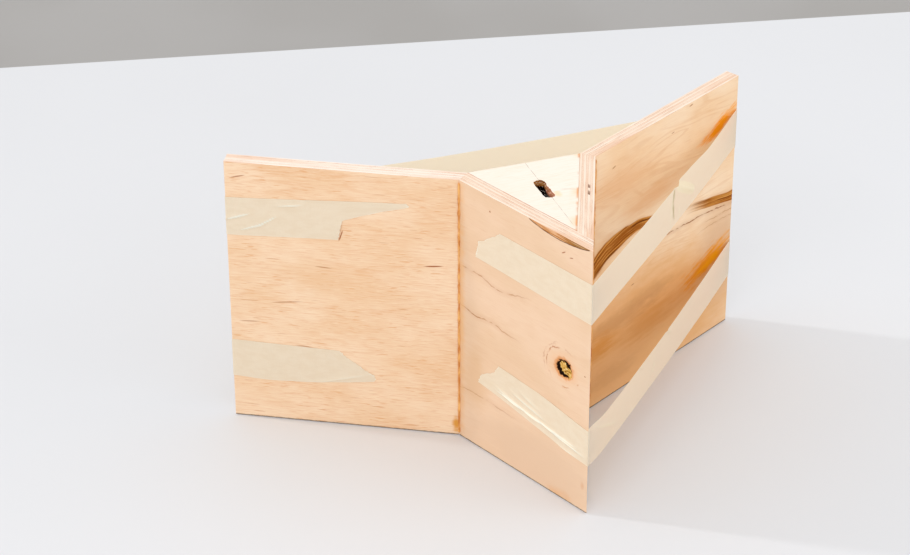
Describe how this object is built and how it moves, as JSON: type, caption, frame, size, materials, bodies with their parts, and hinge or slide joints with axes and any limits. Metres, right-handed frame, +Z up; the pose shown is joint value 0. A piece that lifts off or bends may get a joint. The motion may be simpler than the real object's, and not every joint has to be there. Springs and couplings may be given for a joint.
{
  "type": "plywood stand held by tape clamps",
  "caption": "Plywood stand with flat wings and a V-shaped arm under a slotted triangular cap, held by bands of tape stretched round its arms while the glue sets.",
  "frame": {"origin": "on the floor, at the centre of the stand's overall box", "axes": "+Z up, +X towards the right wing's free end, +Y towards the open back, so that the V's tip points along -Y"},
  "size_m": [0.6314, 0.3426, 0.34],
  "materials": {
    "face_veneer": "sanded, unfinished birch-like face veneer",
    "crossband": "sawn end grain of a crossband ply",
    "long_core": "sawn edge of a ply that runs with the face grain",
    "cap_veneer": "pale sanded face veneer",
    "cap_core": "sawn edge of pale plywood",
    "glue": "dried amber wood glue",
    "masking_tape": "cream creped paper masking tape"
  },
  "bodies": {
    "root": {"left_wing_face_ply": "face_veneer", "left_wing_ply_2": "crossband", "left_wing_ply_3": "long_core", "left_wing_ply_4": "crossband", "left_wing_ply_5": "long_core", "left_wing_ply_6": "crossband", "left_wing_back_ply": "face_veneer", "left_arm_face_ply": "face_veneer", "left_arm_ply_2": "crossband", "left_arm_ply_3": "long_core", "left_arm_ply_4": "crossband", "left_arm_ply_5": "long_core", "left_arm_ply_6": "crossband", "left_arm_back_ply": "face_veneer", "right_arm_face_ply": "face_veneer", "right_arm_ply_2": "crossband", "right_arm_ply_3": "long_core", "right_arm_ply_4": "crossband", "right_arm_ply_5": "long_core", "right_arm_ply_6": "crossband", "right_arm_back_ply": "face_veneer", "right_wing_face_ply": "face_veneer", "right_wing_ply_2": "crossband", "right_wing_ply_3": "long_core", "right_wing_ply_4": "crossband", "right_wing_ply_5": "long_core", "right_wing_ply_6": "crossband", "right_wing_back_ply": "face_veneer", "cap_face_ply": "cap_veneer", "cap_ply_2": "cap_core", "cap_ply_3": "cap_core", "cap_ply_4": "cap_core", "cap_ply_5": "cap_core", "cap_ply_6": "cap_core", "cap_back_ply": "cap_veneer", "left_seam_glue": "glue", "right_seam_glue": "glue", "tip_glue": "glue", "left_cap_glue": "glue", "right_cap_glue": "glue"},
    "lower_band": {"lower_tape_band": "masking_tape"},
    "upper_band": {"upper_tape_band": "masking_tape"}
  },
  "joints": [
    {"name": "lower_band_lift", "type": "slide", "parent": "root", "child": "lower_band", "axis": [0, 0, 1], "range_m": [0, 0.29]},
    {"name": "upper_band_lift", "type": "slide", "parent": "lower_band", "child": "upper_band", "axis": [0, 0, 1], "range_m": [0, 0.1]}
  ]
}
